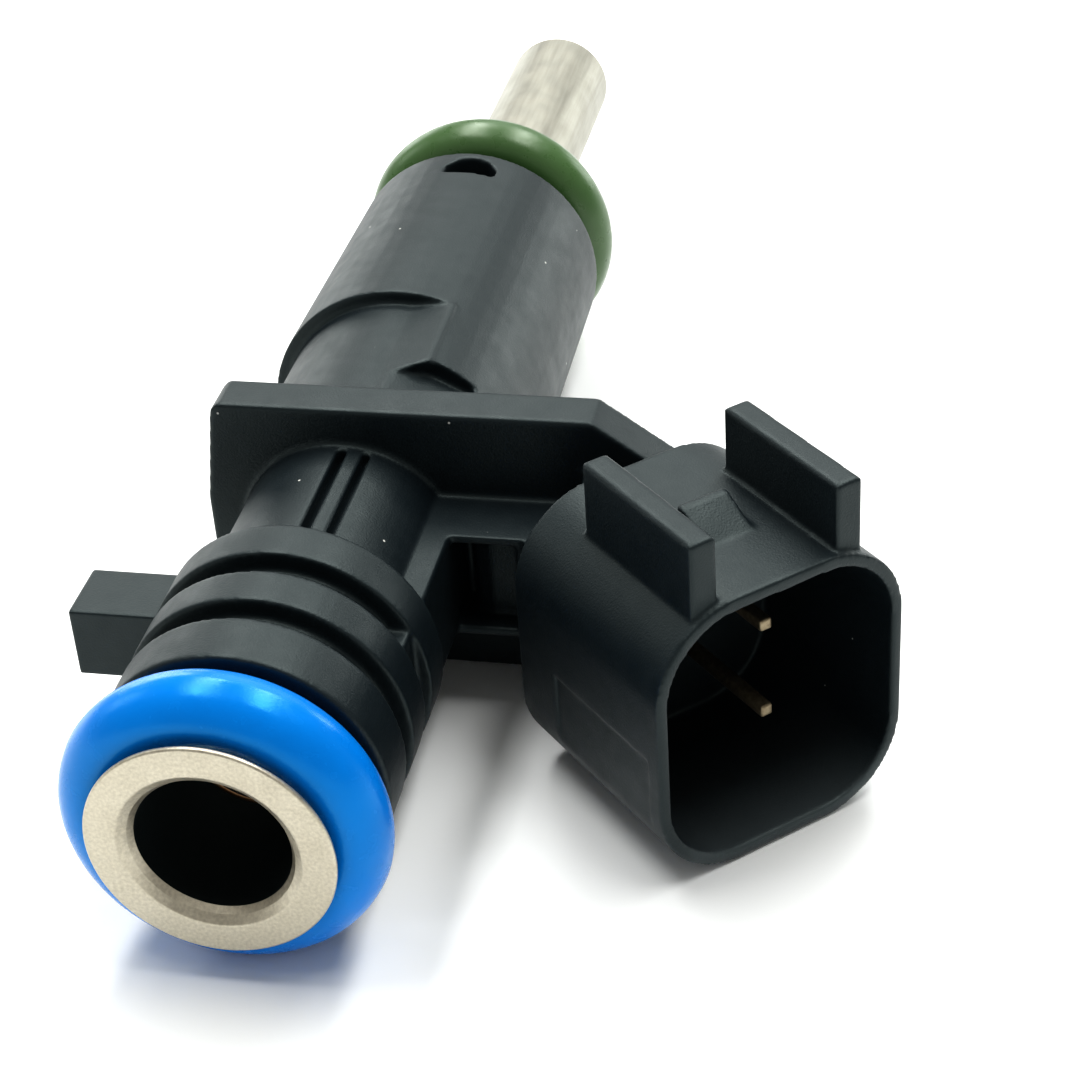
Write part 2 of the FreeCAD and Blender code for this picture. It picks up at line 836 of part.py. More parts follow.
def add_connector(body):
    """Rounded shroud with two keying rails and the latch nose between them."""
    shroud = section_sketch(body, "shroud_section", D["shroud_back"])
    draw_rounded_rectangle(shroud, D["shroud_wide"], D["shroud_high"], D["shroud_corner"])
    swept_feature(body, "Pad", shroud, D["shroud_front"] - D["shroud_back"])
    rails = section_sketch(body, "rail_sections", D["rail_back"])
    inner, outer = D["rail_inner"], D["rail_outer"]
    for low, high in ((-outer, -inner), (inner, outer)):
        draw_rectangle(rails, low, high, D["shroud_high"] - D["rail_root"], D["rail_top"])
    swept_feature(body, "Pad", rails, D["rail_front"] - D["rail_back"])
    latch = profile_sketch(body, "latch_profile")
    draw_polygon(latch, [
        (D["latch_back"], D["shroud_high"] - D["latch_root"]),
        (D["latch_front"] + D["latch_root"], D["shroud_high"] - D["latch_root"]),
        (D["latch_front"], D["shroud_high"]),
        (D["latch_back"] + D["latch_crest"], D["latch_top"]),
        (D["latch_back"], D["latch_top"]),
    ])
    swept_feature(body, "Pad", latch, D["latch_half"] * 2, both_ways=True)
    socket = section_sketch(body, "socket_section", D["socket_floor"])
    draw_rounded_rectangle(socket, D["socket_wide"], D["socket_high"], D["socket_corner"])
    depth = D["shroud_front"] - D["socket_floor"] + 1.0
    swept_feature(body, "Pocket", socket, depth, backwards=True)


def cut_neck_slots(body):
    """Two shallow slots along the top of the neck, with a rib left between them."""
    slots = new_sketch(
        body, "neck_slots", "XY_Plane", level=D["neck_radius"] - D["slot_depth"])
    back = D["plate_front"] - D["slot_end_gap"]
    for left, right in (("slot_one_left", "slot_one_right"), ("slot_two_left", "slot_two_right")):
        draw_rectangle(slots, D[left], D[right], D["collar_back"], back)
    swept_feature(body, "Pocket", slots, D["cut_height"], backwards=True)


def cut_relief(body):
    """Relief on the side away from the connector, from the plate to a crescent step."""
    edge, level = D["relief_edge"], D["relief_edge_level"]
    outer = D["body_root_radius"] + 1.0
    length = D["relief_back"] - D["plate_back"]
    start = -D["plate_back"]
    clearing = new_sketch(body, "relief_clearing", "XZ_Plane", level=start)
    draw_rectangle(clearing, -outer, edge, -outer, outer)
    swept_feature(body, "Pocket", clearing, length)
    core = new_sketch(body, "relief_core", "XZ_Plane", level=start)
    draw_circle(core, 0, 0, D["relief_radius"])
    swept_feature(body, "Pad", core, length, backwards=True)
    run_out = new_sketch(body, "relief_run_out", "XZ_Plane", level=start)
    meet, meet_level = D["relief_meet"], D["relief_meet_level"]
    draw_polygon(run_out, [
        (-meet, meet_level),
        (edge, level),
        (edge, -level),
        (-meet, -meet_level),
    ])
    swept_feature(body, "Pad", run_out, length, backwards=True)


def cut_body_details(body):
    """Notch beside the plate and the arched window near the lower rim."""
    lean = D["notch_lean"]
    radians = math.radians(lean.value)
    floor = D["notch_floor"]
    across = Size(floor.value * math.sin(radians), f"{floor.formula} * sin({lean.formula} * 1 deg)")
    up = Size(floor.value * math.cos(radians), f"{floor.formula} * cos({lean.formula} * 1 deg)")
    notch = new_sketch(body, "notch_outline", "XY_Plane")
    notch.AttachmentOffset = Placement(
        Vector(across.value, 0, up.value), Rotation(Vector(0, 1, 0), lean.value))
    notch.setExpression("AttachmentOffset.Base.x", across.formula)
    notch.setExpression("AttachmentOffset.Base.z", up.formula)
    notch.setExpression("AttachmentOffset.Rotation.Angle", lean.formula)
    half, back = D["notch_half"], D["plate_back"]
    draw_polygon(notch, [
        (-half, back),
        (half, back),
        (half, back + D["notch_length"]),
        (D["notch_bend"], back + D["notch_length"]),
        (-half, back + D["notch_length"] - D["notch_slope"]),
    ])
    swept_feature(body, "Pocket", notch, D["cut_height"], backwards=True)
    window = new_sketch(body, "window_outline", "XY_Plane", level=D["window_floor"])
    left, right = D["window_centre"] - D["window_half"], D["window_centre"] + D["window_half"]
    front, back = D["window_front"], D["window_back"]
    draw_polygon(window, [
        (left, front),
        (right, front),
        (right, front + D["window_side"]),
        (D["window_centre"] + D["window_haunch"], back - D["window_crown"]),
        (D["window_centre"], back),
        (D["window_centre"] - D["window_haunch"], back - D["window_crown"]),
        (left, front + D["window_side"]),
    ])
    swept_feature(body, "Pocket", window, D["cut_height"], backwards=True)


def cut_cavity(body):
    """Space that the tube, sleeve and solenoid fill inside the moulding."""
    tube, sleeve = D["tube_radius"], D["sleeve_radius"]
    housing = D["housing_radius"]
    cavity = new_sketch(body, "cavity_profile", "XY_Plane")
    draw_polygon(cavity, [
        (0, 0),
        (tube, 0),
        (tube, D["tube_end"]),
        (sleeve, D["tube_end"]),
        (sleeve, D["washer_front"]),
        (housing, D["washer_front"]),
        (housing, D["housing_back"]),
        (sleeve, D["housing_back"]),
        (sleeve, D["body_back"] + 1.0),
        (0, D["body_back"] + 1.0),
    ])
    turned_feature(body, "Groove", cavity)


def cut_terminal_ways(body):
    """Ways through the moulding that the two terminals fill."""
    last = None
    for label, sign in (("upper_way", 1), ("lower_way", -1)):
        level = terminal_height(sign) - D["pin_size"] * 0.5
        sketch = new_sketch(body, label, "XY_Plane", level=level)
        draw_polygon(sketch, terminal_outline())
        last = swept_feature(body, "Pocket", sketch, D["pin_size"], backwards=True)
    return last


def overmould_body():
    """Black moulding: collar, neck, plate, connector and lower body in one piece."""
    body = new_body("overmould_body")
    collar, groove, neck = D["collar_radius"], D["groove_radius"], D["neck_radius"]
    outline = new_sketch(body, "barrel_profile", "XY_Plane")
    draw_polygon(outline, [
        (0, D["collar_front"]),
        (collar, D["collar_front"]),
        (collar, D["groove_one_front"]),
        (groove, D["groove_one_front"]),
        (groove, D["groove_one_back"]),
        (collar, D["groove_one_back"]),
        (collar, D["groove_two_front"]),
        (groove, D["groove_two_front"]),
        (groove, D["groove_two_back"]),
        (collar, D["groove_two_back"]),
        (collar, D["collar_back"]),
        (neck, D["collar_back"]),
        (neck, D["plate_back"]),
        (D["body_root_radius"], D["plate_back"]),
        (D["body_rim_radius"], D["body_back"]),
        (0, D["body_back"]),
    ])
    turned_feature(body, "Revolution", outline)
    cut_relief(body)
    cut_neck_slots(body)
    add_plate(body)
    add_web(body)
    add_web_recess(body)
    add_arm(body)
    add_tab(body)
    add_connector(body)
    cut_body_details(body)
    cut_cavity(body)
    body.Tip = cut_terminal_ways(body)
    return body


# ------------------------------------------------------------- rings at the far seal

def lower_support_ring():
    """Ring that backs the lower seal against the moulding."""
    profile = ring_profile(
        D["sleeve_radius"], D["support_radius"], D["body_back"], D["support_back"])
    return turned_piece("lower_support_ring", profile)


def lower_retainer_ring():
    """Pressed ring that keeps the lower seal on the sleeve."""
    profile = ring_profile(
        D["sleeve_radius"], D["retainer_radius"], D["retainer_front"], D["sleeve_shoulder"])
    return turned_piece("lower_retainer_ring", profile)


# ---------------------------------------------------------------------- the build

def build():
    """Make every piece, check it and write it out."""
    pieces = [
        overmould_body(),
        inlet_tube(),
        inlet_filter_ring(),
        inlet_filter_cage(),
        inlet_filter_mesh(),
        torus_piece("upper_o_ring", D["upper_seal_ring"], D["upper_seal_centre"]),
        torus_piece("lower_o_ring", D["lower_seal_ring"], D["lower_seal_centre"]),
        lower_support_ring(),
        lower_retainer_ring(),
        valve_sleeve(),
        pole_piece(),
        adjusting_sleeve(),
        return_spring(),
        armature(),
        needle_tube(),
        valve_ball(),
        guide_disc(),
        valve_seat(),
        orifice_plate(),
        coil_bobbin(),
        coil_winding(),
        solenoid_housing(),
        flux_washer(),
        terminal("terminal_upper", 1),
        terminal("terminal_lower", -1),
    ]
    doc.recompute()
    return pieces


def check(pieces):
    """Stop if any object failed, or any piece is empty or invalid."""
    for thing in doc.Objects:
        if "Invalid" in thing.State or "Error" in thing.State:
            raise RuntimeError(f"{thing.Name} failed: {thing.State}")
    for piece in pieces:
        shape = piece.Shape
        if shape.isNull() or not shape.isValid() or not shape.Solids:
            raise RuntimeError(f"{piece.Label} has no valid solid")
        print(piece.Label, round(shape.Volume, 2), len(shape.Solids), shape.BoundBox)


def write(pieces):
    """One STEP file for each piece."""
    os.makedirs("parts", exist_ok=True)
    for piece in pieces:
        piece.Shape.exportStep(f"parts/{piece.Label}.step")


all_pieces = build()
check(all_pieces)
write(all_pieces)
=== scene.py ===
import json
import math

import bmesh
import bpy
from mathutils import Matrix, Vector


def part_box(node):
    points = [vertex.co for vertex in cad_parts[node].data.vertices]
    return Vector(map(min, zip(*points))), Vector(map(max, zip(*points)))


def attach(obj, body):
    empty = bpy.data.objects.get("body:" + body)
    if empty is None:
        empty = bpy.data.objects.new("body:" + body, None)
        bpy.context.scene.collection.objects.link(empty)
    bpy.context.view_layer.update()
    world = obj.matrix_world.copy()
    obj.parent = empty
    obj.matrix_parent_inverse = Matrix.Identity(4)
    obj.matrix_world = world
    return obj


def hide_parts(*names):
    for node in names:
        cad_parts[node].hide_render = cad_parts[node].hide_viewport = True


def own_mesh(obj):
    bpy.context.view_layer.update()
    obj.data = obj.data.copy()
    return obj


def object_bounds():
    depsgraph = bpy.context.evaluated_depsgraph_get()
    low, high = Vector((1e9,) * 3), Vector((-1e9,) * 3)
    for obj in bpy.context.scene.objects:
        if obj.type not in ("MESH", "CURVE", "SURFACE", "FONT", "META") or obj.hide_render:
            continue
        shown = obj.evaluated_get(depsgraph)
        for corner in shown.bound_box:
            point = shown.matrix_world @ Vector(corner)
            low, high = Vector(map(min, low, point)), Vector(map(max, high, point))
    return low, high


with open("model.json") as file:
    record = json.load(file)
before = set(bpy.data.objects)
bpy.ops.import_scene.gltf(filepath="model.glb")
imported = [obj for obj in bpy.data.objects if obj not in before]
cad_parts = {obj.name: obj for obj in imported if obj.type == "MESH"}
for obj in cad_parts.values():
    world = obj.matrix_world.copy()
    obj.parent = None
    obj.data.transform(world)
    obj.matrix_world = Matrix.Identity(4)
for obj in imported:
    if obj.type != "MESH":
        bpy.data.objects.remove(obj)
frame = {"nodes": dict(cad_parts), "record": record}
cad_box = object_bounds()

# A port fuel injector lying on its side on a pale table.  The row frame is metres; mesh code
# works in millimetres and scales at the end.  +Y runs from the inlet to the nozzle tip.

MM = 0.001
TURN_STEPS = 256

# The connector leaves the body sideways, turned this far from +X towards -Y.
SOCKET_TURN = math.radians(46.93)
SOCKET_ROOT = Vector((12.0, 24.28, 0.0))


def box_mm(node):
    """A CAD node's lowest and highest corners in millimetres."""
    low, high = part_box(node)
    return low / MM, high / MM


def mount_mm(name):
    """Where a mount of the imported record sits, in millimetres."""
    found = next(m for m in frame["record"]["mounts"] if m["name"] == name)
    return Vector(found["pos_m"]) / MM


# ---------------------------------------------------------------- camera and light

CAMERA_PLACE = Vector((32.97, -74.11, 68.15))
CAMERA_FORWARD = Vector((-0.1925, 0.8082, -0.5566))
CAMERA_RIGHT = Vector((0.9795, 0.1927, -0.0590))
CAMERA_LENS = 82.27
SENSOR_WIDTH = 36
FLOOR_LEVEL = cad_box[0].z
FLOOR_RADIUS = 3.0
SURROUND_COLOUR = (1.0, 0.98, 0.93, 1)
SURROUND_STRENGTH = 0.35


def add_camera():
    """The camera that took the photo, solved from the injector's own outlines."""
    data = bpy.data.cameras.new("camera")
    data.lens = CAMERA_LENS
    data.sensor_width = SENSOR_WIDTH
    data.clip_start = 0.005
    data.clip_end = 20
    camera = bpy.data.objects.new("camera", data)
    forward = CAMERA_FORWARD.normalized()
    right = (CAMERA_RIGHT - forward * CAMERA_RIGHT.dot(forward)).normalized()
    up = right.cross(forward)
    turn = Matrix((right, up, -forward)).transposed().to_4x4()
    camera.matrix_world = Matrix.Translation(CAMERA_PLACE * MM) @ turn
    bpy.context.scene.collection.objects.link(camera)
    bpy.context.scene.camera = camera


def add_softbox(name, place, target, size, power, colour):
    """A rectangular light at place, facing target; its long side lies along the injector."""
    data = bpy.data.lights.new(name, "AREA")
    data.shape = "RECTANGLE"
    data.size, data.size_y = size
    data.energy = power
    data.color = colour
    light = bpy.data.objects.new(name, data)
    facing = (Vector(target) - Vector(place)).normalized()
    side = Vector((0, 1, 0)).cross(facing).normalized()
    along = facing.cross(side)
    turn = Matrix((side, along, -facing)).transposed().to_4x4()
    light.matrix_world = Matrix.Translation(Vector(place)) @ turn
    bpy.context.scene.collection.objects.link(light)


# name, place, size, power and colour; places and sizes are in metres
SOFTBOXES = [
    ("strip_left", (-0.16, 0.20, 0.50), (0.10, 0.62), 2.5, (1, 1, 0.98)),
    ("side_left", (-0.62, 0.80, 0.20), (0.30, 0.50), 1.5, (0.97, 1, 0.98)),
    ("strip_right", (0.16, 0.20, 0.50), (0.10, 0.62), 2.5, (1, 1, 0.98)),
    ("side_right", (0.62, 0.80, 0.20), (0.30, 0.50), 2.2, (0.97, 1, 0.98)),
    ("back", (0.0, 0.75, 0.42), (0.5, 0.5), 0.7, (0.94, 1.0, 0.99)),
    ("low_left", (-0.75, 0.17, 0.38), (0.3, 0.3), 0.5, (0.97, 1, 0.98)),
]
LIT_POINT = (0, 0.03, 0)


def add_lights():
    """Two long strips overhead, and weaker boxes behind and beside the injector."""
    for name, place, size, power, colour in SOFTBOXES:
        add_softbox(name, place, LIT_POINT, size, power, colour)


def add_world():
    """An even, dim surround, and the photo's contrast."""
    world = bpy.data.worlds.new("studio")
    world.use_nodes = True
    background = world.node_tree.nodes["Background"]
    background.inputs["Color"].default_value = SURROUND_COLOUR
    background.inputs["Strength"].default_value = SURROUND_STRENGTH
    bpy.context.scene.world = world
    settings = bpy.context.scene.view_settings
    settings.view_transform = "Standard"
    settings.look = "Medium High Contrast"


# ---------------------------------------------------------------- material nodes

class Shader:
    """A node material with one Principled shader and short ways to add nodes to it."""

    def __init__(self, name, roughness, metallic=0.0, specular=0.5):
        self.material = bpy.data.materials.new(name)
        self.material.use_nodes = True
        self.tree = self.material.node_tree
        self.surface = self.tree.nodes["Principled BSDF"]
        self.surface.inputs["Roughness"].default_value = roughness
        self.surface.inputs["Metallic"].default_value = metallic
        self.surface.inputs["Specular IOR Level"].default_value = specular
        self.place = self.tree.nodes.new("ShaderNodeTexCoord").outputs["Object"]

    def join(self, output, socket):
        """Link one node's output to another's input."""
        self.tree.links.new(output, socket)

    def mapped(self, stretch):
        """The object's own coordinates, stretched per axis."""
        node = self.tree.nodes.new("ShaderNodeMapping")
        node.inputs["Scale"].default_value = stretch
        self.join(self.place, node.inputs["Vector"])
        return node.outputs["Vector"]

    def noise(self, size_mm, detail=3.0, stretch=None):
        """Noise whose features are about size_mm across."""
        node = self.tree.nodes.new("ShaderNodeTexNoise")
        node.inputs["Scale"].default_value = 1 / (size_mm * MM)
        node.inputs["Detail"].default_value = detail
        self.join(self.mapped(stretch) if stretch else self.place, node.inputs["Vector"])
        return node.outputs["Fac"]

    def spots(self, spacing_mm):
        """Distance to scattered points, in units of their spacing."""
        node = self.tree.nodes.new("ShaderNodeTexVoronoi")
        node.inputs["Scale"].default_value = 1 / (spacing_mm * MM)
        self.join(self.place, node.inputs["Vector"])
        return node.outputs["Distance"]

    def spread(self, value, low, high, first, last):
        """value from low..high to first..last."""
        node = self.tree.nodes.new("ShaderNodeMapRange")
        node.inputs["From Min"].default_value = low
        node.inputs["From Max"].default_value = high
        node.inputs["To Min"].default_value = first
        node.inputs["To Max"].default_value = last
        self.join(value, node.inputs["Value"])
        return node.outputs["Result"]

    def product(self, first, second):
        """Two values multiplied."""
        node = self.tree.nodes.new("ShaderNodeMath")
        node.operation = "MULTIPLY"
        self.join(first, node.inputs[0])
        self.join(second, node.inputs[1])
        return node.outputs["Value"]

    def blend(self, share, first, second):
        """A colour between first and second; each is a colour or another node's output."""
        node = self.tree.nodes.new("ShaderNodeMix")
        node.data_type = "RGBA"
        self.join(share, node.inputs["Factor"])
        for socket, colour in ((node.inputs[6], first), (node.inputs[7], second)):
            if isinstance(colour, tuple):
                socket.default_value = (*colour, 1)
            else:
                self.join(colour, socket)
        return node.outputs[2]

    def colour(self, output):
        """Use an output as the base colour."""
        self.join(output, self.surface.inputs["Base Color"])

    def rough(self, output):
        """Use an output as the roughness."""
        self.join(output, self.surface.inputs["Roughness"])

    def bumps(self, *layers):
        """Stacked bumps; each layer is (height output, depth in millimetres)."""
        below = None
        for height, depth_mm in layers:
            node = self.tree.nodes.new("ShaderNodeBump")
            node.inputs["Distance"].default_value = depth_mm * MM
            self.join(height, node.inputs["Height"])
            if below:
                self.join(below, node.inputs["Normal"])
            below = node.outputs["Normal"]
        self.join(below, self.surface.inputs["Normal"])


# where the dust and the painted light on the socket's lower wall set in and are full, along, across
# and up the connector, in millimetres
DUST_AND_LIGHT_ALONG = (8.5, 15.5)
DUST_AND_LIGHT_ACROSS = (-6.1, -5.0)
DUST_AND_LIGHT_HEIGHT = (-6.6, -4.6)
# the lighter tone of the socket's lower wall: partly dust, partly painted light from the mouth
DUST_AND_LIGHT_TONE = (0.045, 0.055, 0.06)
SPECK_TONE = (0.55, 0.55, 0.52)
PLASTIC_SHEEN = (0.84, 1.0, 0.98, 1)


def socket_dust_and_light(shader):
    """Share of dust and painted light on the socket's lower wall: none at its floor, most at its
    mouth, where a painted pool of light stands in for the light that falls in.
    """
    turn = shader.tree.nodes.new("ShaderNodeMapping")
    turn.inputs["Rotation"].default_value = (0, 0, SOCKET_TURN)
    shader.join(shader.place, turn.inputs["Vector"])
    axes = shader.tree.nodes.new("ShaderNodeSeparateXYZ")
    shader.join(turn.outputs["Vector"], axes.inputs["Vector"])
    root = Matrix.Rotation(SOCKET_TURN, 3, "Z") @ SOCKET_ROOT
    shares = []
    for axis, offset, (start, end), first, last in (
            ("X", root.x, DUST_AND_LIGHT_ALONG, 0.0, 1.0),
            ("Y", root.y, DUST_AND_LIGHT_ACROSS, 0.0, 1.0),
            ("Z", root.z, DUST_AND_LIGHT_HEIGHT, 1.0, 0.0)):
        start, end = (offset + start) * MM, (offset + end) * MM
        shares.append(shader.spread(axes.outputs[axis], start, end, first, last))
    along, across, height = shares
    return shader.product(shader.product(along, across), height)


def moulded_plastic(name, dark, light, roughness, dusty_and_lit=False):
    """Satin glass-filled plastic: faint colour drift, fine grain, and where asked a few specks of
    dust and, on the socket's lower wall, dust with a painted pool of light.
    """
    shader = Shader(name, roughness, specular=0.39)
    shader.surface.inputs["Specular Tint"].default_value = PLASTIC_SHEEN
    drift = shader.noise(6.0)
    base = shader.blend(drift, dark, light)
    if dusty_and_lit:
        speck = shader.spread(shader.spots(2.6), 0.020, 0.028, 1.0, 0.0)
        base = shader.blend(speck, base, SPECK_TONE)
        # lighter towards the socket's mouth: dust together with a painted pool of light
        base = shader.blend(socket_dust_and_light(shader), base, DUST_AND_LIGHT_TONE)
    shader.colour(base)
    shader.rough(shader.spread(shader.noise(1.3), 0.3, 0.7, roughness - 0.04, roughness + 0.04))
    shader.bumps((shader.noise(0.9), 0.005), (shader.noise(0.10, 2.0), 0.014))
    return shader.material


def grained_steel(name, dark, light, roughness, grain_mm=0.25, stretch=None):
    """Satin steel; stretch draws the grain out along the axes whose value is small."""
    shader = Shader(name, roughness, metallic=1.0)
    grain = shader.noise(grain_mm, 4.0, stretch)
    shader.colour(shader.blend(shader.spread(grain, 0.3, 0.7, 0.0, 1.0), dark, light))
    shader.rough(shader.spread(shader.noise(1.5), 0.3, 0.7, roughness - 0.06, roughness + 0.08))
    shader.bumps((grain, 0.008), (shader.noise(0.08, 2.0), 0.004))
    return shader.material


def smooth_rubber(name, dark, light, sheen, roughness):
    """Moulded seal rubber: nearly even colour, faint waviness and a tinted, oily sheen."""
    shader = Shader(name, roughness, specular=0.55)
    shader.surface.inputs["Specular Tint"].default_value = (*sheen, 1)
    shader.colour(shader.blend(shader.noise(3.5), dark, light))
    shader.rough(shader.spread(shader.noise(0.8), 0.3, 0.7, roughness - 0.05, roughness + 0.07))
    shader.bumps((shader.noise(1.6), 0.02), (shader.noise(0.12, 2.0), 0.004))
    return shader.material


def table_top():
    """A pale table with a hardly visible drift in its tone."""
    shader = Shader("table_top", 0.6, specular=0.3)
    shader.colour(shader.blend(shader.noise(30.0), (0.90, 0.92, 0.93), (0.94, 0.95, 0.95)))
    shader.bumps((shader.noise(0.6), 0.01))
    return shader.material


# ---------------------------------------------------------------- mesh helpers

def new_piece(name, mesh, material, slot, body, *nodes):
    """Links a finished mesh, already in metres, as a piece of the object."""
    for face in mesh.polygons:
        face.use_smooth = True
    mesh.materials.clear()
    mesh.materials.append(material)
    piece = bpy.data.objects.new(name, mesh)
    bpy.context.scene.collection.objects.link(piece)
    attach(piece, body)
    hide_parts(*nodes)
    return piece


def rounded(corners, arc_steps=6):
    """A closed outline of (radius, y) points from corners (radius, y, fillet)."""
    points = []
    for index, (radius, level, fillet) in enumerate(corners):
        corner = Vector((radius, level))
        before = Vector(corners[index - 1][:2]) - corner
        after = Vector(corners[(index + 1) % len(corners)][:2]) - corner
        if fillet == 0:
            points.append(corner)
            continue
        half = before.angle(after) / 2
        reach = fillet / math.tan(half)
        start = corner + before.normalized() * reach
        end = corner + after.normalized() * reach
        middle = (before.normalized() + after.normalized()).normalized()
        centre = corner + middle * (fillet / math.sin(half))
        for step in range(arc_steps + 1):
            share = step / arc_steps
            spoke = (start - centre).lerp(end - centre, share).normalized()
            points.append(centre + spoke * fillet)
    return points


def turned(outline, steps=TURN_STEPS):
    """A mesh in metres, made by turning a closed (radius, y) outline about the Y axis."""
    form = bmesh.new()
    rings = []
    for step in range(steps):
        angle = math.tau * step / steps
        across, up = math.cos(angle) * MM, math.sin(angle) * MM
        rings.append([form.verts.new((r * across, y * MM, r * up)) for r, y in outline])
    for ring, following in zip(rings, rings[1:] + rings[:1]):
        for index in range(len(outline)):
            beside = (index + 1) % len(outline)
            form.faces.new((ring[index], ring[beside], following[beside], following[index]))
    bmesh.ops.recalc_face_normals(form, faces=form.faces)
    mesh = bpy.data.meshes.new("turned")
    form.to_mesh(mesh)
    form.free()
    return mesh


def copied_mm(node):
    """A temporary object in millimetres with a clean copy of a CAD node's mesh."""
    mesh = frame["nodes"][node].data.copy()
    form = bmesh.new()
    form.from_mesh(mesh)
    bmesh.ops.remove_doubles(form, verts=form.verts, dist=0.000001)
    bmesh.ops.scale(form, vec=Vector((1, 1, 1)) / MM, verts=form.verts)
    form.to_mesh(mesh)
    form.free()
    mesh.materials.clear()
    made = bpy.data.objects.new("work_" + node, mesh)
    bpy.context.scene.collection.objects.link(made)
    return made


def finished_mesh(work):
    """The work object's mesh with its modifiers applied, in metres; the object is removed."""
    graph = bpy.context.evaluated_depsgraph_get()
    mesh = bpy.data.meshes.new_from_object(work.evaluated_get(graph))
    mesh.transform(Matrix.Scale(MM, 4))
    bpy.data.objects.remove(work)
    return mesh


def socket_point(along, side, up):
    """A point of the connector: along its axis, sideways and up, in millimetres."""
    cosine, sine = math.cos(SOCKET_TURN), math.sin(SOCKET_TURN)
    return SOCKET_ROOT + Vector((along * cosine + side * sine, side * cosine - along * sine, up))


# ---------------------------------------------------------------- moulded body

VOXEL = 0.12
EDGE_SMOOTHING = 7
BODY_FACES = 196000

# the shallow panel in each flank of the shroud: its depth, and its ends along and up
PANEL_DEPTH = 0.16
PANEL_BACK, PANEL_FRONT = 7.3, 15.0
PANEL_LOW, PANEL_HIGH = -4.9, -0.35
SHROUD_HALF_WIDTH = 6.7


def panel_cutter(side):
    """A closed block that cuts the shallow panel in one flank of the shroud."""
    form = bmesh.new()
    inner, outer = SHROUD_HALF_WIDTH - PANEL_DEPTH, SHROUD_HALF_WIDTH + 1
    for along in (PANEL_BACK, PANEL_FRONT):
        for depth in (inner, outer):
            for up in (PANEL_LOW, PANEL_HIGH):
                form.verts.new(socket_point(along, side * depth, up))
    bmesh.ops.convex_hull(form, input=form.verts)
    mesh = bpy.data.meshes.new("panel_cutter")
    form.to_mesh(mesh)
    form.free()
    cutter = bpy.data.objects.new("panel_cutter", mesh)
    bpy.context.scene.collection.objects.link(cutter)
    return cutter


SLOTS_ABOVE = 4.4
SLOTS_ACROSS = (-0.5, 2.0)
SLOTS_ALONG = (15.3, 23.7)
SLOT_SMOOTHING = 0.12


def detail_hold(point):
    """How far a point of the body is smoothed: less at the narrow slots along the neck."""
    across = SLOTS_ACROSS[0] < point.x < SLOTS_ACROSS[1]
    along = SLOTS_ALONG[0] < point.y < SLOTS_ALONG[1]
    return SLOT_SMOOTHING if point.z > SLOTS_ABOVE and across and along else 1.0


def add_modifier(work, kind, **settings):
    """Add a modifier of a kind with the given settings."""
    modifier = work.modifiers.new(kind.lower(), kind)
    for key, value in settings.items():
        setattr(modifier, key, value)


def apply_modifiers(work):
    """Bakes the modifiers into the work object's own mesh."""
    graph = bpy.context.evaluated_depsgraph_get()
    mesh = bpy.data.meshes.new_from_object(work.evaluated_get(graph))
    work.modifiers.clear()
    work.data = mesh


def add_overmould(material):
    """The body's own shape with moulded, rounded edges and the shallow flank panels."""
    work = copied_mm("overmould_body")
    cutters = [panel_cutter(side) for side in (-1, 1)]
    for cutter in cutters:
        add_modifier(work, "BOOLEAN", operation="DIFFERENCE", object=cutter, solver="EXACT")
    add_modifier(work, "REMESH", mode="VOXEL", voxel_size=VOXEL)
    apply_modifiers(work)
    for cutter in cutters:
        bpy.data.objects.remove(cutter)
    share = work.vertex_groups.new(name="soften")
    for vertex in work.data.vertices:
        share.add([vertex.index], detail_hold(vertex.co), "REPLACE")
    add_modifier(work, "SMOOTH", factor=0.5, iterations=EDGE_SMOOTHING, vertex_group="soften")
    triangles = 2 * len(work.data.polygons)
    if triangles > BODY_FACES:
        add_modifier(work, "DECIMATE", ratio=BODY_FACES / triangles)
    mesh = finished_mesh(work)
    return new_piece("overmould", mesh, material, "black_nylon", "injector", "overmould_body")


# ---------------------------------------------------------------- metal pieces and seals

INLET_BORE = 3.5
CORE_BORE = 3.4
BORE_STEP = 7.1
TUBE_RADIUS = 3.93
FLANGE_THICK = 0.3
MOUTH_RADIUS = 4.12
LEAD_RADIUS = 3.72
LEAD_DEPTH = 0.3
LIP_DEPTH = 0.62
# bore faces inside this radius take the near-black painted shade
DARK_WITHIN = INLET_BORE + 0.06


def add_inlet_tube(material, bore_shade_material):
    """The steel inlet: a rolled flange with a rounded lip, and the tube, whose bore past the lip
    takes a near-black material as painted shade.
    """
    high = box_mm("inlet_tube")[1]
    flange, tube_end = high.x, high.y
    outline = rounded([
        (CORE_BORE, BORE_STEP, 0), (INLET_BORE, BORE_STEP, 0), (INLET_BORE, LIP_DEPTH, 0.08),
        (LEAD_RADIUS, LEAD_DEPTH, 0.2), (MOUTH_RADIUS, 0.0, 0.25), (flange, 0.0, 0.14),
        (flange, FLANGE_THICK, 0.12), (TUBE_RADIUS, FLANGE_THICK, 0.1),
        (TUBE_RADIUS, tube_end, 0), (CORE_BORE, tube_end, 0)])
    piece = new_piece("inlet", turned(outline), material, "inlet_steel", "injector", "inlet_tube")
    # the deep steel bore past the lip is given a near-black plastic material: painted shade
    piece.data.materials.append(bore_shade_material)
    for face in piece.data.polygons:
        radius = math.hypot(face.center.x, face.center.z)
        if radius < DARK_WITHIN * MM and face.center.y > LIP_DEPTH * MM:
            face.material_index = 1
    return piece


SEAL_STEPS = 72
RIDGE_HEIGHT = 0.018
RIDGE_SPREAD = 0.035


